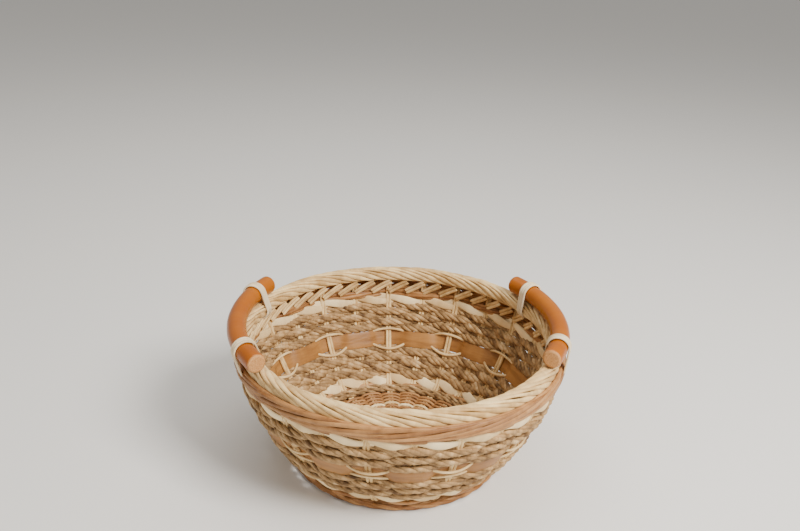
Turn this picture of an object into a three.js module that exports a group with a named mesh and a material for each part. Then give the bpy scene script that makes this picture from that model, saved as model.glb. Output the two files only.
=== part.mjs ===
// Round wicker basket with two bent pole handles, in millimetres, +Z up.
// The origin is on the floor plane, on the axis of the round basket. The handles are on +X and -X.
//
// The basket is a cage of doubled reed stakes. Rows of rope, rod, husk and flat cane pass in front
// of one stake and behind the next, all the way round, and a rolled border closes the top. A bent
// rattan pole lies on the border at each side, held by two loops of reed peel, so it can be worked
// a little way along its own curve.
import * as THREE from 'three';

// Overall size.
const RIM_HEIGHT = 133; // floor to the top of the border
const RIM_RADIUS = 154.5; // middle of the wall, at the top
const BASE_RADIUS = 98; // middle of the wall, at the floor
const FLARE = 1.85; // 1 is a straight cone; more bows the side outwards
const CLEARANCE = 0.3; // gap that touching pieces keep

// Stakes: pairs of reeds lying side by side.
const STAKE_PAIRS = 24;
const STAKE_WIDTH = 6.5;
const STAKE_THICKNESS = 2.6;
const FIRST_STAKE = 90; // degrees from +X
const STAKE_LEVELS = 10; // straight lengths that follow the bow of the side

// Rows of the wall.
const WEAVER_THICKNESS = 2.9;
const ROD = 3.8; // thickness of a brown rod
const BASE_ROD_HEIGHT = 4.2;
const LOWER_HUSK_HEIGHT = 6.6;
const UPPER_HUSK_HEIGHT = 7.6;
const TWINE_HEIGHT = 1.8;
const CANE_HEIGHT = 14;
const ROPE_COURSES = 5; // turns of rope in each of the two rope bands
const PLAIT_THICKNESS = 3.4;

// Border.
const BORDER_ROPE_RADIUS = 7.5;
const BORDER_SET_IN = 6.5; // how far its middle lies inside the middle of the wall
const BORDER_SIDES = 8;
const TOP_ROD_DROP = 30; // degrees below level, seen from the middle of the border

// Base.
const FOOT_HEIGHT = 5.4;
const FOOT_WIDTH = 12;
const FLOOR_WEAVER_THICKNESS = 2.4;
const FLOOR_ROWS = ['inner', 'middle', 'outer'];
const SPOKE_START = 30; // inner ends of the stakes
const CENTRE_REED = 2.6; // thickness of each of the two crossed layers of reed in the middle
const CENTRE_SIDES = 24;

// Handles.
const POLE_RADIUS = 9;
const POLE_SPAN = 66; // degrees of the rim that a pole covers
// Degrees above level, seen from the middle of the border. The right pole is lashed on further in.
const POLE_LEAN = { right: 80, left: 66 };
const POLE_SIDES = 12;
const POLE_STEPS = 20;
const LOOP_ANGLE = 22.5; // degrees from the middle of a pole to each of its loops
const LOOP_WIDTH = 9;
const LOOP_THICKNESS = 2.6;
const LOOP_GAP = 0.5; // between a loop and what it holds
const ARC_POINTS = 20; // corners of the full circle that a loop's bends are taken from

// Sizes that follow from the ones above.
const stakePitch = 360 / STAKE_PAIRS;
const stakeClear = STAKE_THICKNESS / 2 + CLEARANCE;
const halfWall = stakeClear + WEAVER_THICKNESS;
const spokeBottom = FOOT_HEIGHT + CLEARANCE;
const spokeTop = spokeBottom + STAKE_THICKNESS;
const wallBottom = spokeTop + CLEARANCE;
const border = { r: RIM_RADIUS - BORDER_SET_IN, z: RIM_HEIGHT - BORDER_ROPE_RADIUS, radius: BORDER_ROPE_RADIUS };
const borderBottom = border.z - border.radius;
const stakeTop = borderBottom - CLEARANCE;
const wallTop = borderBottom - LOOP_GAP - LOOP_THICKNESS - CLEARANCE;
const footInner = BASE_RADIUS - FOOT_WIDTH;

const radians = THREE.MathUtils.degToRad;
const stakeAngle = (k) => radians(FIRST_STAKE + k * stakePitch);

// Middle of the wall at a height: upright at the rim and leaning in towards the base.
function wallRadius(z) {
  return BASE_RADIUS + (RIM_RADIUS - BASE_RADIUS) * (1 - (1 - z / RIM_HEIGHT) ** FLARE);
}

// A round piece lying against another, given by its direction from the other's middle.
function beside(circle, radius, gap, degrees) {
  const reach = circle.radius + radius + gap;
  const angle = radians(degrees);
  return { r: circle.r + reach * Math.cos(angle), z: circle.z + reach * Math.sin(angle), radius };
}

const topRod = beside(border, ROD / 2, LOOP_GAP, -TOP_ROD_DROP);

function finish(color, roughness) {
  return new THREE.MeshStandardMaterial({ color, roughness, metalness: 0 });
}

const finishes = {
  reed: () => finish(0xe0c79c, 0.6),
  husk: () => finish(0xe3cfa6, 0.65),
  rod: () => finish(0xb07a4a, 0.55),
  rope: () => finish(0x9a7f55, 0.8),
  cane: () => finish(0xc08a55, 0.5),
  twine: () => finish(0xe9d8b4, 0.6),
  pole: () => finish(0xb5621c, 0.3),
  loop: () => finish(0xefe2c6, 0.55),
};

const basket = new THREE.Group();

function addPiece(name, geometry, material) {
  const mesh = new THREE.Mesh(geometry, material);
  mesh.name = name;
  basket.add(mesh);
  return mesh;
}

// Corners of a ring that passes every stake: two corners to a stake, level across it.
// side(k) says which side of stake k the ring takes: 1, -1, or 0 for neither.
function stations(innerRadius, side, reach, midway = false) {
  const half = Math.asin((STAKE_WIDTH / 2 + CLEARANCE) / innerRadius);
  const list = [];
  for (let k = 0; k < STAKE_PAIRS; k++) {
    const shift = side(k) * reach;
    for (const turn of [-half, half]) {
      list.push({ angle: stakeAngle(k) + turn, stretch: 1 / Math.cos(half), shift });
    }
    if (midway) list.push({ angle: stakeAngle(k + 0.5), stretch: 1, shift });
  }
  return list;
}

// A closed ring with the given section. Each station turns the section round the axis and moves it
// outwards, or upwards in the floor.
function ring(section, places, upwards = false) {
  const outline = [...section, section[0]].map(([r, z]) => new THREE.Vector2(r, z));
  const geometry = new THREE.LatheGeometry(outline, places.length);
  const position = geometry.attributes.position;
  for (let v = 0; v < position.count; v++) {
    const place = places[Math.floor(v / outline.length) % places.length];
    const point = outline[v % outline.length];
    const radius = (point.x + (upwards ? 0 : place.shift)) * place.stretch;
    const height = point.y + (upwards ? place.shift : 0);
    position.setXYZ(v, radius * Math.cos(place.angle), radius * Math.sin(place.angle), height);
  }
  return geometry;
}

const straight = () => 0;
const over = (phase) => (k) => ((k + phase) % 2 === 0 ? 1 : -1);

// Section of a row of the wall between two heights, following the slope of the side.
function wallSection(low, high, from, to) {
  const [a, b] = [wallRadius(low), wallRadius(high)];
  return [[a + to, low], [b + to, high], [b + from, high], [a + from, low]];
}

function wovenRow(low, high, phase) {
  const half = WEAVER_THICKNESS / 2;
  const places = stations(BASE_RADIUS, over(phase), stakeClear + half);
  return ring(wallSection(low, high, -half, half), places);
}

function plainRow(low, high, from, to) {
  return ring(wallSection(low, high, from, to), stations(BASE_RADIUS, straight, 0));
}

// The rows of the wall from the floor up. The rope courses share the height that the others leave.
function wallRows() {
  const courses = (name) =>
    Array.from({ length: ROPE_COURSES }, (_, i) => ({ name: `${name}_${i + 1}`, finish: finishes.rope }));
  const rows = [
    { name: 'base_rod_row', height: BASE_ROD_HEIGHT, finish: finishes.rod },
    { name: 'husk_band_lower', height: LOWER_HUSK_HEIGHT, finish: finishes.husk },
    ...courses('seagrass_lower'),
    { name: 'twine_lower', height: TWINE_HEIGHT, finish: finishes.twine, phase: 1 },
    { name: 'cane_strip', height: CANE_HEIGHT, finish: finishes.cane, phase: 0 },
    { name: 'twine_upper', height: TWINE_HEIGHT, finish: finishes.twine, phase: 1 },
    ...courses('seagrass_upper'),
    { name: 'husk_band_upper', height: UPPER_HUSK_HEIGHT, finish: finishes.husk },
    { name: 'rod_row_3', height: ROD, finish: finishes.rod },
    { name: 'rod_row_2', height: ROD, finish: finishes.rod, outside: true },
    { name: 'rod_row_1', height: ROD, finish: finishes.rod, outside: true },
  ];
  const used = rows.reduce((sum, row) => sum + (row.height ?? 0), 0) + CLEARANCE * (rows.length - 1);
  const ropeHeight = (wallTop - wallBottom - used) / (2 * ROPE_COURSES);
  let low = wallBottom;
  rows.forEach((row, i) => {
    row.low = low;
    row.high = low + (row.height ?? ropeHeight);
    row.phase = row.phase ?? i % 2;
    low = row.high + CLEARANCE;
  });
  return rows;
}

function addWall() {
  const rows = wallRows();
  for (const row of rows) {
    const shape = row.outside
      ? plainRow(row.low, row.high, stakeClear, stakeClear + ROD)
      : wovenRow(row.low, row.high, row.phase);
    addPiece(row.name, shape, row.finish());
  }
  const plaitLow = rows.find((row) => row.outside).low;
  const plait = plainRow(plaitLow, wallTop, -stakeClear - PLAIT_THICKNESS, -stakeClear);
  addPiece('plait_row', plait, finishes.reed());
}

// Side view of a stake: out along the floor, then up the wall to the underside of the border.
function stakeOutline() {
  const half = STAKE_THICKNESS / 2;
  const side = (from, offset) =>
    Array.from({ length: STAKE_LEVELS + 1 }, (_, i) => {
      const z = from + ((stakeTop - from) * i) / STAKE_LEVELS;
      return new THREE.Vector2(wallRadius(z) + offset, z);
    });
  return [
    new THREE.Vector2(SPOKE_START, spokeBottom),
    ...side(spokeBottom, half),
    ...side(spokeTop, -half).reverse(),
    new THREE.Vector2(SPOKE_START, spokeTop),
  ];
}

// A flat outline in the plane of the axis, given thickness along the rim.
function slab(shape, width) {
  const geometry = new THREE.ExtrudeGeometry(shape, { depth: width, bevelEnabled: false });
  geometry.translate(0, 0, -width / 2);
  geometry.rotateX(Math.PI / 2);
  return geometry;
}

function addStakes() {
  const shape = new THREE.Shape(stakeOutline());
  for (let k = 0; k < STAKE_PAIRS; k++) {
    const name = `stake_${String(k + 1).padStart(2, '0')}`;
    addPiece(name, slab(shape, STAKE_WIDTH), finishes.reed()).rotation.z = stakeAngle(k);
  }
}

function roundSection(circle, sides) {
  return Array.from({ length: sides }, (_, i) => {
    const angle = (2 * Math.PI * (i + 0.5)) / sides;
    return [circle.r + circle.radius * Math.cos(angle), circle.z + circle.radius * Math.sin(angle)];
  });
}

function addBorder() {
  const places = stations(BASE_RADIUS, straight, 0, true);
  addPiece('border', ring(roundSection(border, BORDER_SIDES), places), finishes.reed());
  addPiece('rod_row_top', ring(roundSection(topRod, 4), places), finishes.rod());
}

function flatRing(inner, outer, low, high) {
  const section = [[outer, low], [outer, high], [inner, high], [inner, low]];
  return ring(section, stations(BASE_RADIUS, straight, 0));
}

function addBase() {
  const foot = [
    [wallRadius(0) + halfWall, 0],
    [wallRadius(FOOT_HEIGHT) + halfWall, FOOT_HEIGHT],
    [footInner, FOOT_HEIGHT],
    [footInner, 0],
  ];
  addPiece('foot_row', ring(foot, stations(BASE_RADIUS, straight, 0)), finishes.rod());

  const edgeOuter = wallRadius(wallBottom) - halfWall - 2 * CLEARANCE;
  const edge = flatRing(footInner, edgeOuter, wallBottom, wallBottom + FLOOR_WEAVER_THICKNESS);
  addPiece('floor_edge_row', edge, finishes.rope());

  const inner = SPOKE_START + 2;
  const rowWidth = (footInner - inner) / FLOOR_ROWS.length;
  const half = FLOOR_WEAVER_THICKNESS / 2;
  const middle = (spokeBottom + spokeTop) / 2;
  FLOOR_ROWS.forEach((name, i) => {
    const near = inner + i * rowWidth;
    const far = near + rowWidth - 2 * CLEARANCE;
    const section = [[far, middle - half], [far, middle + half], [near, middle + half], [near, middle - half]];
    const places = stations(near, over(i), stakeClear + half);
    const flat = places.map((place) => ({ ...place, stretch: 1 }));
    addPiece(`floor_row_${name}`, ring(section, flat, true), finishes.rod());
  });
  const centreRadius = SPOKE_START - 2 * CLEARANCE;
  for (const [name, level] of [['lower', -1], ['upper', 1]]) {
    const layer = new THREE.CylinderGeometry(centreRadius, centreRadius, CENTRE_REED, CENTRE_SIDES);
    const mesh = addPiece(`centre_reeds_${name}`, layer.rotateX(Math.PI / 2), finishes.reed());
    mesh.position.z = middle + (level * (CENTRE_REED + CLEARANCE)) / 2;
  }
}

// Outline of a band pulled tight round several circles: the hull of points on all of them.
function bandOutline(circles, gap) {
  const points = circles.flatMap((circle) => roundSection({ ...circle, radius: circle.radius + gap }, ARC_POINTS));
  points.sort((a, b) => a[0] - b[0] || a[1] - b[1]);
  const turnsLeft = (a, b, c) => (b[0] - a[0]) * (c[1] - a[1]) - (b[1] - a[1]) * (c[0] - a[0]) > 1e-9;
  const chain = (list) => {
    const kept = [];
    for (const point of list) {
      while (kept.length > 1 && !turnsLeft(kept[kept.length - 2], kept[kept.length - 1], point)) kept.pop();
      kept.push(point);
    }
    return kept.slice(0, -1);
  };
  return [...chain(points), ...chain([...points].reverse())].map(([r, z]) => new THREE.Vector2(r, z));
}

function addHandles() {
  for (const [side, facing] of [['right', 0], ['left', 180]]) {
    const pole = beside(border, POLE_RADIUS, LOOP_GAP, POLE_LEAN[side]);
    const held = [pole, border, topRod];
    const band = new THREE.Shape(bandOutline(held, LOOP_GAP + LOOP_THICKNESS));
    band.holes.push(new THREE.Path(bandOutline(held, LOOP_GAP)));
    for (const [place, turn] of [['a', -LOOP_ANGLE], ['b', LOOP_ANGLE]]) {
      const loop = addPiece(`loop_${side}_${place}`, slab(band, LOOP_WIDTH), finishes.loop());
      loop.rotation.z = radians(facing + turn);
    }
    addPiece(`handle_${side}`, poleGeometry(pole), finishes.pole()).rotation.z = radians(facing);
  }
}

// A rattan pole bent to the curve of the rim.
function poleGeometry(pole) {
  const half = radians(POLE_SPAN / 2);
  const points = Array.from({ length: POLE_STEPS + 1 }, (_, i) => {
    const angle = half * ((2 * i) / POLE_STEPS - 1);
    return new THREE.Vector3(pole.r * Math.cos(angle), pole.r * Math.sin(angle), pole.z);
  });
  const section = new THREE.Shape(
    roundSection({ r: 0, z: 0, radius: POLE_RADIUS }, POLE_SIDES).map(([x, y]) => new THREE.Vector2(x, y)),
  );
  const path = new THREE.CatmullRomCurve3(points);
  return new THREE.ExtrudeGeometry(section, { steps: POLE_STEPS, extrudePath: path, bevelEnabled: false });
}

addWall();
addStakes();
addBorder();
addBase();
addHandles();

export default basket;
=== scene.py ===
import math

import bmesh
import bpy
from mathutils import Matrix, Vector


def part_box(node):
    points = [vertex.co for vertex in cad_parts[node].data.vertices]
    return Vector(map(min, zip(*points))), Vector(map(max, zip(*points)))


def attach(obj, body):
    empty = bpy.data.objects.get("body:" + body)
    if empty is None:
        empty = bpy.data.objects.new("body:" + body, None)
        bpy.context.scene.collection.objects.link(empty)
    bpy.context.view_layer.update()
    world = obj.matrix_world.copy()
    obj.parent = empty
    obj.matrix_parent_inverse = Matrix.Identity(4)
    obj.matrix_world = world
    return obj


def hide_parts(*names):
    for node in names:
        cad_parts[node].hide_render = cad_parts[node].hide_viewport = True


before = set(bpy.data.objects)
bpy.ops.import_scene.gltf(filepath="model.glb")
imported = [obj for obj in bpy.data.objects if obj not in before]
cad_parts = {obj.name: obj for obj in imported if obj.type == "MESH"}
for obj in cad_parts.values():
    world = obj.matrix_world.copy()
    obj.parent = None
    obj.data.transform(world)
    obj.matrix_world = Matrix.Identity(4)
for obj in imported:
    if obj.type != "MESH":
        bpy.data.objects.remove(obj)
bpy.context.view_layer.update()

# A round wicker basket: doubled reed stakes, rows of seagrass rope, brown rod, husk, flat cane and
# twine woven round them, a rolled reed border, and a bent rattan pole looped on at each side.
# Everything is in metres, +Z up, with the handles on +X and -X.
MM = 0.001

# Sizes of the materials themselves, which the frame doesn't hold.
REED = 3.1 * MM  # thickness of a reed, where a piece gives no other
HALF_WALL = 4.5 * MM  # from the middle of the wall to its outer side
STAKE_HALF = 1.3 * MM
ROD_HALF = 1.9 * MM
ROPE_LAY = 36 * MM  # length in which the plies of a rope go once round each other
BORDER_CORNERS = 8  # corners of the border's section in the frame
POLE_CORNERS = 12  # and of a pole's
STAKE_PAIRS = 24
FLARE = 1.85  # 1 is a straight cone; more bows the side outwards
FRONT_LIFT = 5.0 * MM  # the weave climbs this much towards the front and drops as much at the back


# ---------------------------------------------------------------- node trees

class Value:
    """One socket's value. Python's operators on it add Math nodes to its tree."""

    def __init__(self, tree, socket):
        self.tree = tree
        self.socket = socket

    def math(self, operation, *inputs):
        return self.tree.node("ShaderNodeMath", {"operation": operation}, dict(enumerate(inputs)))

    def other(self, name):
        return Value(self.tree, self.socket.node.outputs[name])

    def __add__(self, other):
        return self.math("ADD", self, other)

    def __sub__(self, other):
        return self.math("SUBTRACT", self, other)

    def __rsub__(self, other):
        return self.math("SUBTRACT", other, self)

    def __mul__(self, other):
        return self.math("MULTIPLY", self, other)

    def __truediv__(self, other):
        return self.math("DIVIDE", self, other)

    def __pow__(self, other):
        return self.math("POWER", self, other)

    def __mod__(self, other):
        return self.math("MODULO", self, other)

    def sin(self):
        return self.math("SINE", self)

    def cos(self):
        return self.math("COSINE", self)

    def abs(self):
        return self.math("ABSOLUTE", self)

    def at_least(self, least):
        return self.math("MAXIMUM", self, least)

    def at_most(self, most):
        return self.math("MINIMUM", self, most)


class Tree:
    """A node tree that is written as expressions."""

    def __init__(self, nodes):
        self.nodes = nodes

    def node(self, kind, settings=None, inputs=None, output=0):
        """Adds a node, with its settings first and then its inputs, as values or as links."""
        made = self.nodes.nodes.new(kind)
        for key, value in (settings or {}).items():
            if key == "stops":
                self.set_stops(made.color_ramp, value)
            else:
                setattr(made, key, value)
        for key, value in (inputs or {}).items():
            if isinstance(value, Value):
                self.nodes.links.new(value.socket, made.inputs[key])
            else:
                made.inputs[key].default_value = value
        return Value(self, made.outputs[output]) if made.outputs else made

    @staticmethod
    def set_stops(ramp, stops):
        while len(ramp.elements) < len(stops):
            ramp.elements.new(1.0)
        for element, (place, colour) in zip(ramp.elements, stops):
            element.position = place
            element.color = (*colour, 1.0)

    def vector(self, x, y, z):
        return self.node("ShaderNodeCombineXYZ", inputs={0: x, 1: y, 2: z})

    def noise(self, vector, scale, detail=2.0, roughness=0.5, output="Fac", w=0.0):
        inputs = {"Vector": vector, "W": w, "Scale": scale, "Detail": detail, "Roughness": roughness}
        return self.node("ShaderNodeTexNoise", {"noise_dimensions": "4D"}, inputs, output)


SOCKETS = {float: "NodeSocketFloat", int: "NodeSocketInt", "material": "NodeSocketMaterial"}


def geometry_tree(name, inputs, with_geometry=False):
    """A new Geometry Nodes group with named inputs. Returns its Tree and its inputs by name."""
    group = bpy.data.node_groups.new(name, "GeometryNodeTree")
    if with_geometry:
        group.interface.new_socket(name="Lines", in_out="INPUT", socket_type="NodeSocketGeometry")
    for label, default in inputs.items():
        kind = "material" if default is None else type(default)
        socket = group.interface.new_socket(name=label, in_out="INPUT", socket_type=SOCKETS[kind])
        if default is not None:
            socket.default_value = default
    group.interface.new_socket(name="Geometry", in_out="OUTPUT", socket_type="NodeSocketGeometry")
    tree = Tree(group)
    source = group.nodes.new("NodeGroupInput")
    return tree, {s.name: Value(tree, s) for s in source.outputs if s.name}


def store(tree, geometry, name, value, kind="FLOAT", domain="POINT"):
    settings = {"data_type": kind, "domain": domain}
    inputs = {0: geometry, "Name": name, "Value": value}
    return tree.node("GeometryNodeStoreNamedAttribute", settings, inputs)


def swept(tree, paths, given, scale):
    """Sweeps a rounded section along the paths and finishes the tree."""
    ring = tree.node("GeometryNodeCurvePrimitiveCircle", {"mode": "RADIUS"},
                     {"Resolution": given["Sides"], "Radius": 1.0})
    place = tree.node("GeometryNodeInputPosition")
    apart = tree.node("ShaderNodeSeparateXYZ", inputs={0: place})

    def squared(value, size):
        return value.math("SIGN", value) * (value.abs() ** given["Squareness"]) * size

    flat = squared(apart, given["Thickness"] / 2)
    tall = squared(apart.other("Y"), given["Width"] / 2)
    section = tree.vector(flat, tall, 0.0)
    ring = tree.node("GeometryNodeSetPosition", inputs={0: ring, "Position": section})
    ring = store(tree, ring, "across", section, "FLOAT_VECTOR")
    mesh = tree.node("GeometryNodeCurveToMesh",
                     inputs={0: paths, "Profile Curve": ring, "Scale": scale, "Fill Caps": True})
    mesh = tree.node("GeometryNodeSetShadeSmooth", inputs={0: mesh, "Shade Smooth": True})
    mesh = tree.node("GeometryNodeRealizeInstances", inputs={0: mesh})
    mesh = tree.node("GeometryNodeSetMaterial", inputs={0: mesh, "Material": given["Material"]})
    end = tree.nodes.nodes.new("NodeGroupOutput")
    tree.nodes.links.new(mesh.socket, end.inputs[0])
    return tree.nodes


SECTION = {"Sides": 8, "Thickness": REED, "Width": REED, "Squareness": 1.0, "Material": None}


def make_row_tree():
    """Strands that go right round the basket, in and out of the stakes and round each other."""
    inputs = {
        "Points": 600, "Strands": 1, "Seed": 0,
        "Radius": 0.15, "Height": 0.1, "Slope": 0.0,
        "Weave": 0.0, "Weaves": 12.0, "Weave start": 0.0, "Sharpness": 0.4, "Pinch": 0.0,
        "Ply out": 0.0, "Ply up": 0.0, "Ply turns": 0.0, "Ply start": 0.0, "Ply rolls": 0.0,
        "Rise": 0.0, "Front lift": 0.0, "Unevenness": 0.0, "Thinning": 0.0, **SECTION,
    }
    tree, given = geometry_tree("rows woven round", inputs)
    line = tree.node("GeometryNodeMeshLine", inputs={"Count": given["Points"]})
    curve = tree.node("GeometryNodeMeshToCurve", inputs={0: line})
    copies = tree.node("GeometryNodeDuplicateElements", {"domain": "SPLINE"},
                       {0: curve, "Amount": given["Strands"]})
    strand = copies.other("Duplicate Index")
    index = tree.node("GeometryNodeInputIndex")
    turn = (index % given["Points"]) / given["Points"] * (2 * math.pi)

    wave = (turn * given["Weaves"] + given["Weave start"]).cos()
    wave_flat = wave / (wave * wave + given["Sharpness"]) ** 0.5 * (given["Sharpness"] + 1.0) ** 0.5
    ply = turn * given["Ply turns"] + (strand / given["Strands"] + given["Ply start"]) * (2 * math.pi)

    base = tree.vector(turn.cos() * given["Radius"], turn.sin() * given["Radius"], given["Height"])
    seed = given["Seed"] + strand * 0.37
    shake = tree.noise(base, 28.0, 2.0, 0.6, "Color", seed)
    coarse = tree.node("ShaderNodeSeparateXYZ", inputs={0: shake})
    shake_out = (coarse - 0.5) * given["Unevenness"]
    shake_up = (coarse.other("Y") - 0.5) * given["Unevenness"]

    out = wave_flat * given["Weave"] + ply.cos() * given["Ply out"] + shake_out
    up = (ply.sin() * given["Ply up"] + wave_flat * given["Rise"] + shake_up
          - turn.sin() * given["Front lift"])
    radius = given["Radius"] + given["Slope"] * up + out
    place = tree.vector(turn.cos() * radius, turn.sin() * radius, given["Height"] + up)

    curve = tree.node("GeometryNodeSetPosition", inputs={0: copies, "Position": place})
    curve = tree.node("GeometryNodeSetSplineCyclic", inputs={0: curve, "Cyclic": True})
    curve = tree.node("GeometryNodeSetCurveNormal", {"mode": "Z_UP"}, {0: curve})
    tilt = given["Slope"].math("ARCTANGENT", given["Slope"]) + ply * given["Ply rolls"]
    curve = tree.node("GeometryNodeSetCurveTilt", inputs={0: curve, "Tilt": tilt})
    curve = store(tree, curve, "along", turn * given["Radius"] + seed * 3.1)
    curve = store(tree, curve, "strand", seed)
    pinched = 1.0 - ply.sin() * ply.sin() * given["Pinch"]
    thin = (1.0 - (coarse.other("Z") - 0.35) * given["Thinning"]) * pinched
    return swept(tree, curve, given, thin)


def make_reed_tree():
    """Reeds, poles and peel that follow given lines, singly or side by side."""
    inputs = {
        "Resolution": 0.002, "Side by side": 1, "Spacing": 0.0, "Seed": 0,
        "Unevenness": 0.0, "Taper": 0.0, "Rounding": 0.0, "Roll": 0.0, **SECTION,
    }
    tree, given = geometry_tree("reeds along lines", inputs, with_geometry=True)
    curve = tree.node("GeometryNodeMeshToCurve", inputs={0: given["Lines"]})
    copies = tree.node("GeometryNodeDuplicateElements", {"domain": "SPLINE"},
                       {0: curve, "Amount": given["Side by side"]})
    number = copies.other("Duplicate Index")
    own_seed = tree.node("GeometryNodeInputIndex") * 0.73 + given["Seed"]
    curve = store(tree, copies, "strand", own_seed, domain="CURVE")
    curve = store(tree, curve, "beside", number - (given["Side by side"] - 1.0) / 2.0)
    curve = tree.node("GeometryNodeResampleCurve", {"mode": "LENGTH"},
                      {0: curve, "Length": given["Resolution"]})
    curve = tree.node("GeometryNodeSetCurveNormal", {"mode": "Z_UP"}, {0: curve})
    curve = tree.node("GeometryNodeSetCurveTilt", inputs={0: curve, "Tilt": given["Roll"]})
    named = {"data_type": "FLOAT"}
    beside = tree.node("GeometryNodeInputNamedAttribute", named, {"Name": "beside"})
    strand = tree.node("GeometryNodeInputNamedAttribute", named, {"Name": "strand"})
    place = tree.node("GeometryNodeInputPosition")
    shake = tree.noise(place, 40.0, 2.0, 0.6, "Color", strand)
    shake = tree.node("ShaderNodeVectorMath", {"operation": "SUBTRACT"}, {0: shake, 1: (0.5, 0.5, 0.5)})
    shake = tree.node("ShaderNodeVectorMath", {"operation": "SCALE"},
                      {0: shake, "Scale": given["Unevenness"]})
    normal = tree.node("GeometryNodeInputNormal")
    tangent = tree.node("GeometryNodeInputTangent")
    sideways = tree.node("ShaderNodeVectorMath", {"operation": "CROSS_PRODUCT"},
                         {0: tangent, 1: normal})
    aside = tree.node("ShaderNodeVectorMath", {"operation": "SCALE"},
                      {0: sideways, "Scale": beside * given["Spacing"]})
    offset = tree.node("ShaderNodeVectorMath", {"operation": "ADD"}, {0: shake, 1: aside})
    curve = tree.node("GeometryNodeSetPosition", inputs={0: curve, "Offset": offset})
    parameter = tree.node("GeometryNodeSplineParameter")
    length = parameter.other("Length")
    curve = store(tree, curve, "along", length + strand * 3.1)
    whole = tree.node("GeometryNodeSplineLength")
    to_end = length.at_most(whole - length)
    # A rounded end: the section shrinks as a quarter circle over the rounding length.
    near = to_end / given["Rounding"].at_least(0.00001)
    away = 1.0 - near.at_most(1.0)
    shrink = (1.0 - away * away) ** 0.5 * 0.25 + 0.75
    curve = store(tree, curve, "to end", to_end)
    thin = shrink * (1.0 - parameter * given["Taper"])
    return swept(tree, curve, given, thin)


def run(tree, name, sizes, lines=None):
    """Runs a tree on a new object and keeps its result as a plain mesh."""
    mesh = lines or bpy.data.meshes.new(name)
    piece = bpy.data.objects.new(name, mesh)
    bpy.context.scene.collection.objects.link(piece)
    modifier = piece.modifiers.new("strands", "NODES")
    modifier.node_group = tree
    for item in tree.interface.items_tree:
        if item.item_type == "SOCKET" and item.in_out == "INPUT" and item.name in sizes:
            modifier[item.identifier] = sizes[item.name]
    bpy.context.view_layer.update()
    whole = piece.evaluated_get(bpy.context.evaluated_depsgraph_get())
    result = bpy.data.meshes.new_from_object(whole)
    piece.modifiers.remove(modifier)
    piece.data = result
    result.name = name
    face_outwards(result)
    return piece


def face_outwards(mesh):
    shape = bmesh.new()
    shape.from_mesh(mesh)
    if shape.calc_volume(signed=True) < 0:
        bmesh.ops.reverse_faces(shape, faces=shape.faces)
    shape.to_mesh(mesh)
    shape.free()


# ---------------------------------------------------------------- materials

def shader(name, build, coat=0.0, coat_roughness=0.2, sheen=0.0):
    """A procedural material. build(tree) returns its colour, roughness and height values."""
    material = bpy.data.materials.new(name)
    material.use_nodes = True
    nodes = material.node_tree
    nodes.nodes.clear()
    tree = Tree(nodes)
    colour, rough, height, depth = build(tree)
    bump = tree.node("ShaderNodeBump", inputs={"Strength": 1.0, "Distance": depth, "Height": height})
    inputs = {"Base Color": colour, "Roughness": rough, "Normal": bump}
    surface = tree.node("ShaderNodeBsdfPrincipled", inputs=inputs)
    principled = surface.socket.node
    principled.inputs["Coat Weight"].default_value = coat
    principled.inputs["Coat Roughness"].default_value = coat_roughness
    principled.inputs["Sheen Weight"].default_value = sheen
    principled.inputs["Sheen Roughness"].default_value = 0.5
    principled.inputs["Specular IOR Level"].default_value = 0.35
    tree.node("ShaderNodeOutputMaterial", inputs={"Surface": surface})
    return material


def attribute(tree, name, output="Fac"):
    return tree.node("ShaderNodeAttribute", {"attribute_name": name}, output=output)


def fibre_space(tree, stretch):
    """Coordinates that run with a strand: squeezed along it, true across it."""
    along = attribute(tree, "along")
    across = attribute(tree, "across", "Vector")
    apart = tree.node("ShaderNodeSeparateXYZ", inputs={0: across})
    return tree.vector(along * stretch, apart, apart.other("Y")), along, apart


def ramp(tree, value, *stops):
    return tree.node("ShaderNodeValToRGB", {"stops": stops}, {0: value})


def mix(tree, factor, first, second, blend="MIX"):
    made = tree.nodes.nodes.new("ShaderNodeMix")
    made.data_type = "RGBA"
    made.blend_type = blend
    sockets = [s for s in made.inputs if s.enabled]
    for socket, value in zip([sockets[0], sockets[1], sockets[2]], (factor, first, second)):
        if isinstance(value, Value):
            tree.nodes.links.new(value.socket, socket)
        else:
            socket.default_value = value
    return Value(tree, next(s for s in made.outputs if s.enabled))


def tone(tree, patchy, dark, middle, light):
    return ramp(tree, patchy, (0.25, dark), (0.5, middle), (0.75, light))


def fibrous(dark, middle, light, grain=0.35, stretch=0.06, fine=900.0, depth=0.0006, rough=(0.5, 0.75),
            patch=26.0, shade=0.55, half=0.0018, groove_shade=0.3):
    """A maker of shaders for peeled or dried plant fibre, with tones that vary along each strand and
    shade painted at its sides.
    """
    def build(tree):
        space, along, apart = fibre_space(tree, stretch)
        strand = attribute(tree, "strand")
        lines = tree.noise(space, fine, 3.0, 0.6, w=strand)
        slow = tree.noise(tree.vector(along, strand * 7.0, 0.0), patch, 3.0, 0.65)
        own = tree.node("ShaderNodeTexWhiteNoise", {"noise_dimensions": "1D"}, {"W": strand * 91.7})
        patchy = slow * 0.6 + own * 0.22 + lines * grain - 0.09 - grain * 0.3
        colour = tone(tree, patchy, dark, middle, light)
        streak = ramp(tree, lines, (0.3, (shade, shade * 0.92, shade * 0.82)), (0.52, (1.0, 1.0, 1.0)))
        colour = mix(tree, 0.6, colour, streak, "MULTIPLY")
        # Painted shade: the sides of a strand, where it meets the next one, are darkened as if shaded
        # in the groove between strands.
        side = ((apart.other("Y").abs() / half - 0.5) * 2.0).at_least(0.0).at_most(1.0)
        colour = mix(tree, side * side * groove_shade, colour, (0.10, 0.045, 0.012, 1.0))
        roughness = lines * (rough[1] - rough[0]) + rough[0]
        return colour, roughness, lines, depth
    return build


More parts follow.
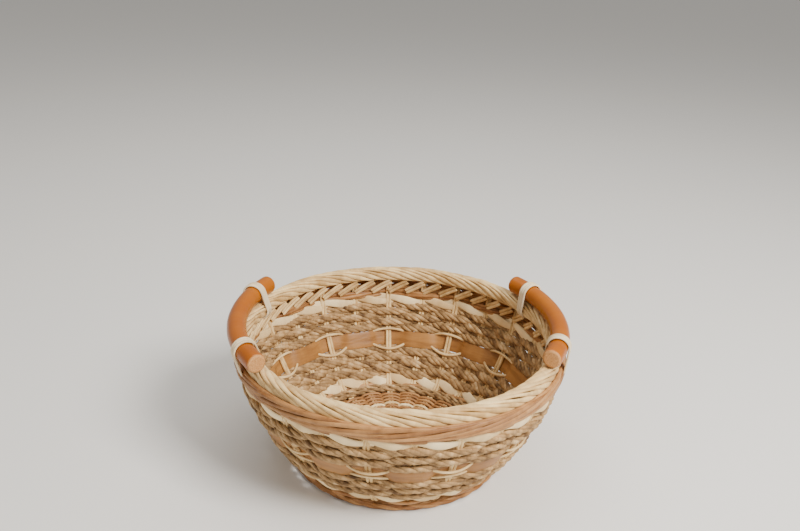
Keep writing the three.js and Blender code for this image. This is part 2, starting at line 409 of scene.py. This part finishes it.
def pole_shader(tree):
    """Varnished rattan: orange-brown, darker in long streaks, with sawn ends of lighter wood."""
    space = fibre_space(tree, 0.05)[0]
    lines = tree.noise(space, 420.0, 3.0, 0.6)
    slow = tree.noise(space, 60.0, 2.0, 0.5)
    varnished = ((0.23, 0.046, 0.0), (0.36, 0.092, 0.0), (0.47, 0.150, 0.001))
    sawn_wood = ((0.36, 0.15, 0.045), (0.52, 0.25, 0.085), (0.62, 0.34, 0.14))
    colour = tone(tree, lines * 0.45 + slow * 0.55, *varnished)
    ends = 1.0 - ((attribute(tree, "to end") - 0.0006) / 0.0016).at_least(0.0).at_most(1.0)
    pith = tree.noise(tree.node("ShaderNodeTexCoord", output="Object"), 900.0, 2.0, 0.6)
    colour = mix(tree, ends, colour, tone(tree, pith, *sawn_wood))
    return colour, lines * 0.12 + 0.26 + ends * 0.3, lines + ends * pith * 2.0, 0.0002


def make_materials():
    cream = ((0.52, 0.31, 0.11), (0.88, 0.64, 0.31), (0.98, 0.83, 0.49))
    pale = ((0.68, 0.46, 0.21), (0.95, 0.74, 0.42), (0.99, 0.88, 0.60))
    brown = ((0.25, 0.10, 0.028), (0.47, 0.235, 0.085), (0.63, 0.37, 0.165))
    grass = ((0.10, 0.045, 0.013), (0.46, 0.28, 0.12), (0.92, 0.70, 0.40))
    tan = ((0.26, 0.105, 0.024), (0.41, 0.195, 0.055), (0.55, 0.30, 0.105))
    peel = ((0.70, 0.55, 0.34), (0.87, 0.74, 0.52), (0.94, 0.85, 0.66))
    # The groove value sets how strongly shade is painted at the sides of each strand.
    rope_look = {"grain": 0.5, "stretch": 0.10, "fine": 1100.0, "depth": 0.0012, "patch": 90.0,
                 "rough": (0.6, 0.85), "half": 0.0021, "groove_shade": 0.8}
    strip_look = {"stretch": 0.03, "fine": 800.0, "rough": (0.35, 0.55), "half": 0.009}
    return {
        "peeled_reed": shader("peeled reed", fibrous(*cream, grain=0.45, half=0.0026, groove_shade=0.55),
                              sheen=0.05),
        "husk_braid": shader("husk", fibrous(*pale, stretch=0.04, fine=600.0, depth=0.001, half=0.005)),
        "brown_rod": shader("brown rod", fibrous(*brown, grain=0.4, rough=(0.38, 0.62))),
        "seagrass_rope": shader("seagrass", fibrous(*grass, **rope_look)),
        "flat_cane": shader("flat cane", fibrous(*tan, **strip_look)),
        "reed_twine": shader("reed twine", fibrous(*pale, grain=0.3)),
        "reed_peel_loop": shader("reed peel", fibrous(*peel, stretch=0.03, fine=700.0,
                                                      rough=(0.42, 0.6))),
        "rattan_pole": shader("varnished rattan", pole_shader, coat=0.08, coat_roughness=0.3),
    }


# ---------------------------------------------------------------- the frame's own sizes

def solve_wall():
    """Reads the middle of the wall from the frame: its radius at any height, and its slope."""
    low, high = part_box("border")
    rope = (high.z - low.z) / 2 / math.cos(math.pi / BORDER_CORNERS)
    middle = (high.z + low.z) / 2
    top = middle + rope
    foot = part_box("foot_row")[1]
    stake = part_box("stake_01")[1]

    def bow(z):
        return 1 - (1 - z / top) ** FLARE

    first, last = foot.x - HALF_WALL, stake.y - STAKE_HALF
    spread = (last - first) / (bow(stake.z) - bow(foot.z))
    base = first - spread * bow(foot.z)

    def radius(z):
        return base + spread * bow(z)

    def slope(z):
        return spread * FLARE / top * (1 - z / top) ** (FLARE - 1)

    border = {"radius": high.x - (high.z - low.z) / 2, "height": middle, "rope": rope}
    return radius, slope, border, top


wall_radius, wall_slope, border, RIM_TOP = solve_wall()
row_tree = make_row_tree()
reed_tree = make_reed_tree()
materials = make_materials()


def keep(piece, body, slot, *nodes):
    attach(piece, body)
    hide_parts(*nodes)
    return piece


def lift_at(z):
    """How strongly the weave climbs towards the front: nothing at the floor or at the border."""
    from_middle = abs(2 * z / RIM_TOP - 1)
    return FRONT_LIFT * (1 - from_middle ** 5)


def row(name, slot, sizes, node=None):
    """A woven row in the height that its frame node has."""
    low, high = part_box(node or name)
    height = (low.z + high.z) / 2
    base = {"Radius": wall_radius(height), "Height": height, "Slope": wall_slope(height),
            "Front lift": lift_at(height), "Seed": len(name) * 3 + ord(name[-1]),
            "Material": materials[slot]}
    sizes = {**base, **sizes}
    sizes["Width"] *= math.hypot(1, sizes["Slope"])  # rows lie wider where the side leans
    piece = run(row_tree, name + "_weave", sizes)
    return keep(piece, "basket", slot, node or name)


# ---------------------------------------------------------------- pieces

def make_ropes():
    """Rows of four-ply seagrass rope. They take turns to pass outside and inside a stake."""
    for band in ("lower", "upper"):
        for i in range(sum(name.startswith("seagrass_" + band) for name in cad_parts)):
            name = f"seagrass_{band}_{i + 1}"
            turns = round(2 * math.pi * wall_radius(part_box(name)[0].z) / ROPE_LAY)
            row(name, "seagrass_rope", {
                "Points": 900, "Strands": 4, "Weave": 2.4 * MM, "Weave start": math.pi * (i % 2),
                "Ply out": 1.9 * MM, "Ply up": 2.2 * MM, "Ply turns": -float(turns),
                "Ply start": 0.21 * i,
                "Unevenness": 1.8 * MM, "Thinning": 0.6,
                "Width": 4.4 * MM, "Thickness": 3.5 * MM, "Squareness": 0.9, "Sides": 8,
            })


def make_husk_bands():
    """Two broad flat strands that cross between the stakes."""
    for name, start in (("husk_band_upper", 0.25), ("husk_band_lower", 0.75)):
        row(name, "husk_braid", {
            "Points": 600, "Strands": 2, "Ply out": 2.9 * MM, "Ply up": 2.5 * MM, "Ply turns": -12.0,
            "Ply start": start, "Pinch": 0.3, "Unevenness": 2.4 * MM, "Thinning": 0.3,
            "Width": 9.4 * MM, "Thickness": 3.0 * MM, "Squareness": 0.85, "Sides": 16,
        })


def make_rods():
    """Smooth brown rods: long laps outside under the border, and rows that go in and out."""
    for name, strands, spread in (("rod_row_1", 5, 4.6), ("rod_row_2", 3, 2.6)):
        low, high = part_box(name)
        height = (low.z + high.z) / 2
        row(name, "brown_rod", {
            "Points": 480, "Strands": strands, "Radius": wall_radius(height) + 3.7 * MM,
            "Ply out": 1.0 * MM, "Ply up": spread * MM, "Ply turns": 5.0, "Ply start": 0.3 * strands,
            "Unevenness": 1.6 * MM, "Width": 4.2 * MM, "Thickness": 3.0 * MM, "Sides": 10,
        })
    row("rod_row_top", "brown_rod", {
        "Points": 400, "Radius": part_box("rod_row_top")[1].x - ROD_HALF,
        "Unevenness": 1.0 * MM, "Front lift": 0.5 * MM,
        "Width": 3.9 * MM, "Thickness": 3.7 * MM, "Sides": 10,
    })
    for name, strands, spread in (("rod_row_3", 3, 2.4), ("base_rod_row", 2, 1.0)):
        row(name, "brown_rod", {
            "Points": 500, "Strands": strands, "Weave": 2.7 * MM, "Unevenness": 1.4 * MM,
            "Ply out": 0.9 * MM, "Ply up": spread * MM, "Ply turns": 4.0,
            "Width": 3.9 * MM, "Thickness": 3.0 * MM, "Sides": 10,
        })


def make_cane_and_twine():
    """A broad flat strip in and out of the stakes, and twine that goes the other way over its edges."""
    row("cane_strip", "flat_cane", {
        "Points": 600, "Weave": 2.7 * MM, "Sharpness": 0.25, "Unevenness": 1.2 * MM,
        "Width": 16.0 * MM, "Thickness": 1.7 * MM, "Squareness": 0.45, "Sides": 24,
    })
    # Outside, where the strip is behind a stake, the two twines nearly meet in front of it.
    for name, outside, inside in (("twine_upper", -5.0, 2.6), ("twine_lower", 5.0, -0.6)):
        low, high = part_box(name)
        row(name, "reed_twine", {
            "Points": 600, "Height": (low.z + high.z) / 2 + (outside + inside) / 2 * MM,
            "Weave": 3.6 * MM, "Weave start": math.pi, "Sharpness": 3.0,
            "Rise": (outside - inside) / 2 * MM,
            "Unevenness": 1.2 * MM, "Width": 2.6 * MM, "Thickness": 2.2 * MM, "Sides": 8,
        })


def make_border():
    """The stakes' ends, rolled round the rim in one long twist."""
    piece = run(row_tree, "border_roll", {
        "Points": 800, "Strands": 9, "Radius": border["radius"], "Height": border["height"],
        "Ply out": 5.7 * MM, "Ply up": 5.5 * MM, "Ply turns": -7.0, "Ply rolls": 1.0,
        "Unevenness": 2.4 * MM, "Thinning": 0.6,
        "Width": 5.6 * MM, "Thickness": 3.3 * MM, "Squareness": 0.9, "Sides": 12, "Seed": 5,
        "Material": materials["peeled_reed"],
    })
    keep(piece, "basket", "peeled_reed", "border")


def polylines(name, lines):
    """A mesh of loose edges, one run of them for each list of points."""
    mesh = bpy.data.meshes.new(name)
    points, edges = [], []
    for line in lines:
        edges += [(len(points) + i, len(points) + i + 1) for i in range(len(line) - 1)]
        points += line
    mesh.from_pydata([tuple(p) for p in points], edges, [])
    return mesh


def polar(radius, angle, z):
    return Vector((radius * math.cos(angle), radius * math.sin(angle), z))


def make_stakes():
    """Each pair of reeds runs out along the floor and turns up the wall."""
    low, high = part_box("stake_01")
    floor = low.z + STAKE_HALF
    bend = wall_radius(floor)
    start = floor + 6 * MM
    profile = [(low.y + (bend - 10 * MM - low.y) * i / 8, floor) for i in range(9)]
    profile += [(bend - 4 * MM, floor + 0.4 * MM), (bend + 0.3 * MM, floor + 2.4 * MM)]
    profile += [(wall_radius(z), z) for z in (start + (high.z - start) * i / 24 for i in range(25))]
    for k in range(STAKE_PAIRS):
        name = f"stake_{k + 1:02d}"
        angle = math.radians(90 + k * 360 / STAKE_PAIRS)
        line = polylines(name, [[polar(r, angle, z) for r, z in profile]])
        piece = run(reed_tree, name + "_pair", {
            "Side by side": 2, "Spacing": 3.2 * MM, "Seed": k, "Unevenness": 0.5 * MM,
            "Roll": math.pi / 2,
            "Width": 3.3 * MM, "Thickness": 3.4 * MM, "Sides": 8, "Material": materials["peeled_reed"],
        }, line)
        keep(piece, "basket", "peeled_reed", name)


def make_plait():
    """Slanting reed ends on the inside, below the border."""
    low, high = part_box("plait_row")
    strokes = []
    count = 2 * STAKE_PAIRS
    for i in range(count):
        foot = 2 * math.pi * i / count
        sweep = math.radians(-8.0)
        line = []
        for j in range(9):
            t = j / 8
            z = low.z - 3 * MM + (high.z + 6 * MM - low.z) * t
            r = wall_radius(z) - 3.6 * MM - 1.6 * MM * math.sin(math.pi * t) - 6.5 * MM * t ** 2.2
            line.append(polar(r, foot + sweep * t, z))
        strokes.append(line)
    piece = run(reed_tree, "plait_strokes", {
        "Side by side": 2, "Spacing": 3.2 * MM, "Seed": 31, "Unevenness": 1.6 * MM,
        "Width": 3.4 * MM, "Thickness": 2.6 * MM, "Sides": 8,
        "Resolution": 1.6 * MM, "Material": materials["peeled_reed"],
    }, polylines("plait_strokes", strokes))
    keep(piece, "basket", "peeled_reed", "plait_row")


def make_floor():
    """The floor's rods, each over one pair of stakes and under the next, and a little pale reed."""
    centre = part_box("centre_reeds_upper")
    middle = (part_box("centre_reeds_lower")[0].z + centre[1].z) / 2
    inner = centre[1].x + 2.6 * MM
    ring = 0
    for name in ("floor_row_inner", "floor_row_middle", "floor_row_outer"):
        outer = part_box(name)[1].x
        count = round((outer - inner) / REED)
        parts = []
        for i in range(count):
            pale = name == "floor_row_middle" and i in (count // 2, count // 2 + 1)
            parts.append(run(row_tree, f"{name}_{i}", {
                "Points": 240 + 12 * ring, "Radius": inner + (outer - inner) * (i + 0.5) / count,
                "Height": middle, "Rise": 2.4 * MM, "Weave start": math.pi * (ring % 2),
                "Sharpness": 0.3, "Unevenness": 0.7 * MM,
                "Width": 2.5 * MM, "Thickness": 3.2 * MM, "Sides": 8, "Seed": 60 + ring,
                "Material": materials["reed_twine" if pale else "brown_rod"],
            }))
            ring += 1
        keep(join(name + "_weave", parts), "basket", "brown_rod", name)
        inner = outer + 0.4 * MM
    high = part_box("floor_edge_row")[1]
    parts = [run(row_tree, f"floor_edge_{i}", {
        "Points": 600, "Strands": 2, "Radius": inner + (high.x - inner) * (i + 0.5) / 2,
        "Height": high.z - 1.2 * MM,
        "Ply out": 1.4 * MM, "Ply up": 1.2 * MM, "Ply turns": -24.0, "Ply start": 0.3 * i,
        "Unevenness": 1.2 * MM, "Width": 3.4 * MM, "Thickness": 3.2 * MM, "Seed": 80 + i,
        "Material": materials["seagrass_rope"],
    }) for i in range(2)]
    keep(join("floor_edge_rope", parts), "basket", "seagrass_rope", "floor_edge_row")


def make_foot():
    """Rods twined round the edge of the base, which the basket stands on."""
    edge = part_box("foot_row")[1].x
    outer, inner = edge - 2.2 * MM, edge - 17.5 * MM
    parts = []
    count = 4
    for i in range(count):
        radius = inner + (outer - inner) * i / (count - 1)
        parts.append(run(row_tree, f"foot_{i}", {
            "Points": 420, "Strands": 2, "Radius": radius, "Height": 2.5 * MM,
            "Ply out": 0.8 * MM, "Ply up": 0.75 * MM, "Ply turns": 18.0 - 36.0 * (i % 2),
            "Ply start": 0.2 * i, "Unevenness": 0.3 * MM,
            "Width": 3.4 * MM, "Thickness": 3.4 * MM, "Sides": 10, "Seed": 90 + i,
            "Material": materials["brown_rod"],
        }))
    keep(join("foot_rods", parts), "basket", "brown_rod", "foot_row")


def make_centre():
    """Two crossed layers of reed, bound into a round."""
    for name, along in (("centre_reeds_lower", 0), ("centre_reeds_upper", 1)):
        low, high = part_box(name)
        reach = high.x - 0.6 * MM
        z = (low.z + high.z) / 2
        lines = []
        step = 3.15 * MM
        half = int(reach / step)
        for i in range(-half, half + 1):
            off = i * step
            end = math.sqrt(max(reach ** 2 - off ** 2, 0)) - 0.4 * MM
            if end < 3 * MM:
                continue
            points = [(-end + 2 * end * j / 12, off) for j in range(13)]
            lines.append([Vector((x, y, z) if not along else (y, x, z)) for x, y in points])
        piece = run(reed_tree, name + "_layer", {
            "Width": 3.0 * MM, "Thickness": 2.5 * MM, "Seed": 7 + along, "Unevenness": 0.3 * MM,
            "Resolution": 3 * MM, "Material": materials["peeled_reed"],
        }, polylines(name, lines))
        keep(piece, "basket", "peeled_reed", name)


def join(name, parts):
    """Joins pieces that were made one by one into one mesh, with their materials."""
    whole = parts[0]
    with bpy.context.temp_override(active_object=whole, object=whole, selected_editable_objects=parts):
        bpy.ops.object.join()
    whole.name = name
    whole.data.name = name
    return whole


def handle_frame(name):
    """A pole's own circle, from the frame: its radius from the axis, its height, its half thickness."""
    low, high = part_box(name)
    flat_half = (high.z - low.z) / 2
    radius = max(abs(low.x), abs(high.x)) - flat_half
    return radius, (low.z + high.z) / 2, flat_half / math.cos(math.pi / POLE_CORNERS)


def make_handles():
    """A bent pole on each side, along its own circle round the basket's axis."""
    for side in ("right", "left"):
        node = f"handle_{side}"
        radius, z, thick = handle_frame(node)
        half = math.asin(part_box(node)[1].y / (radius + thick))
        facing = 0 if side == "right" else math.pi
        line = [polar(radius, facing + half * (2 * i / 60 - 1), z) for i in range(61)]
        piece = run(reed_tree, f"pole_{side}", {
            "Width": 2 * thick, "Thickness": 2 * thick, "Sides": 40, "Resolution": 0.4 * MM,
            "Rounding": 3.2 * MM, "Unevenness": 0.8 * MM, "Seed": 3 if side == "right" else 9,
            "Material": materials["rattan_pole"],
        }, polylines(f"pole_{side}", [line]))
        keep(piece, f"{side}_handle", "rattan_pole", node)


def hull(circles, gap, count=48):
    """Outline of a band pulled round several circles, as (radius, height) points."""
    points = []
    for r, z, size in circles:
        for i in range(count):
            angle = 2 * math.pi * i / count
            points.append((r + (size + gap) * math.cos(angle), z + (size + gap) * math.sin(angle)))
    points = sorted(set(points))

    def chain(list_of_points):
        kept = []
        for p in list_of_points:
            while len(kept) > 1 and ((kept[-1][0] - kept[-2][0]) * (p[1] - kept[-2][1])
                                     - (kept[-1][1] - kept[-2][1]) * (p[0] - kept[-2][0])) <= 0:
                kept.pop()
            kept.append(p)
        return kept[:-1]

    return chain(points) + chain(points[::-1])


def closed_line(name, line):
    mesh = bpy.data.meshes.new(name)
    edges = [(i, (i + 1) % len(line)) for i in range(len(line))]
    mesh.from_pydata([tuple(p) for p in line], edges, [])
    return mesh


def make_loops():
    """Three turns of reed peel, drawn tight round pole, border and top rod."""
    top_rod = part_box("rod_row_top")[1]
    for side in ("right", "left"):
        held = [handle_frame(f"handle_{side}"), (border["radius"], border["height"], border["rope"]),
                (top_rod.x - ROD_HALF, top_rod.z - 1.5 * MM, ROD_HALF)]
        for end in ("a", "b"):
            node = f"loop_{side}_{end}"
            low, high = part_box(node)
            angle = math.atan2((low.y + high.y) / 2, (low.x + high.x) / 2)
            piece = run(reed_tree, f"{node}_peel", {
                "Side by side": 3, "Spacing": 3.0 * MM, "Width": 3.3 * MM, "Thickness": 2.0 * MM,
                "Squareness": 0.8, "Sides": 12, "Unevenness": 0.7 * MM,
                "Resolution": 1.0 * MM, "Seed": len(node) + ord(end),
                "Material": materials["reed_peel_loop"],
            }, closed_line(node, [Vector((r, h, 0)) for r, h in hull(held, 1.5 * MM)]))
            upright = Matrix.Rotation(math.pi / 2, 4, "X")
            piece.data.transform(Matrix.Rotation(angle, 4, "Z") @ upright)
            keep(piece, "basket", "reed_peel_loop", node)


# ---------------------------------------------------------------- scene

def make_floor_and_light():
    size = 20.0
    bpy.ops.mesh.primitive_plane_add(size=size, location=(0, 0, -0.0005))
    ground = bpy.context.object
    ground.name = "studio_floor"
    material = bpy.data.materials.new("pale floor")
    material.use_nodes = True
    principled = material.node_tree.nodes["Principled BSDF"]
    principled.inputs["Base Color"].default_value = (0.78, 0.77, 0.75, 1)
    principled.inputs["Roughness"].default_value = 0.9
    ground.data.materials.append(material)
    world = bpy.data.worlds.new("studio")
    world.use_nodes = True
    world.node_tree.nodes["Background"].inputs[0].default_value = (1.0, 0.97, 0.92, 1)
    world.node_tree.nodes["Background"].inputs[1].default_value = 0.45
    bpy.context.scene.world = world
    lamps = (("key", (0.75, -0.85, 1.25), 0.6, 44.0), ("fill", (-1.2, -1.0, 0.8), 1.2, 2.5),
             ("top", (0.0, 0.4, 1.6), 1.4, 13.0))
    for name, place, width, power in lamps:
        light = bpy.data.lights.new(name, "AREA")
        light.size = width
        light.energy = power
        light.color = (1.0, 0.96, 0.9)
        lamp = bpy.data.objects.new(name, light)
        lamp.location = place
        lamp.rotation_euler = (Vector((0, 0, 0.08)) - Vector(place)).to_track_quat("-Z", "Y").to_euler()
        bpy.context.scene.collection.objects.link(lamp)


def make_camera():
    """The camera stands in front of the basket and a little above it, looking down."""
    turn = math.radians(-5.7)  # the basket stands turned a little against the camera
    yaw, pitch, roll = math.radians(-0.16), math.radians(22.85), math.radians(2.3)
    distance, elevation = 0.8207, math.radians(27.0)
    eye = Vector((-0.0008, -distance * math.cos(elevation), RIM_TOP + distance * math.sin(elevation)))
    level = math.cos(pitch)
    forward = Vector((math.sin(yaw) * level, math.cos(yaw) * level, -math.sin(pitch)))
    right = forward.cross(Vector((0, 0, 1))).normalized()
    up = right.cross(forward)
    tilted_right = right * math.cos(roll) + up * math.sin(roll)
    tilted_up = up * math.cos(roll) - right * math.sin(roll)
    axes = Matrix((tilted_right, tilted_up, -forward)).transposed()
    spin = Matrix.Rotation(turn, 3, "Z")
    lens = bpy.data.cameras.new("camera")
    lens.sensor_width = 36.0
    lens.lens = 38.25
    lens.clip_start = 0.01
    camera = bpy.data.objects.new("camera", lens)
    camera.matrix_world = Matrix.Translation(spin @ eye) @ (spin @ axes).to_4x4()
    bpy.context.scene.collection.objects.link(camera)
    bpy.context.scene.camera = camera


make_camera()
make_floor_and_light()
make_ropes()
make_husk_bands()
make_rods()
make_cane_and_twine()
make_border()
make_stakes()
make_plait()
make_floor()
make_foot()
make_centre()
make_handles()
make_loops()
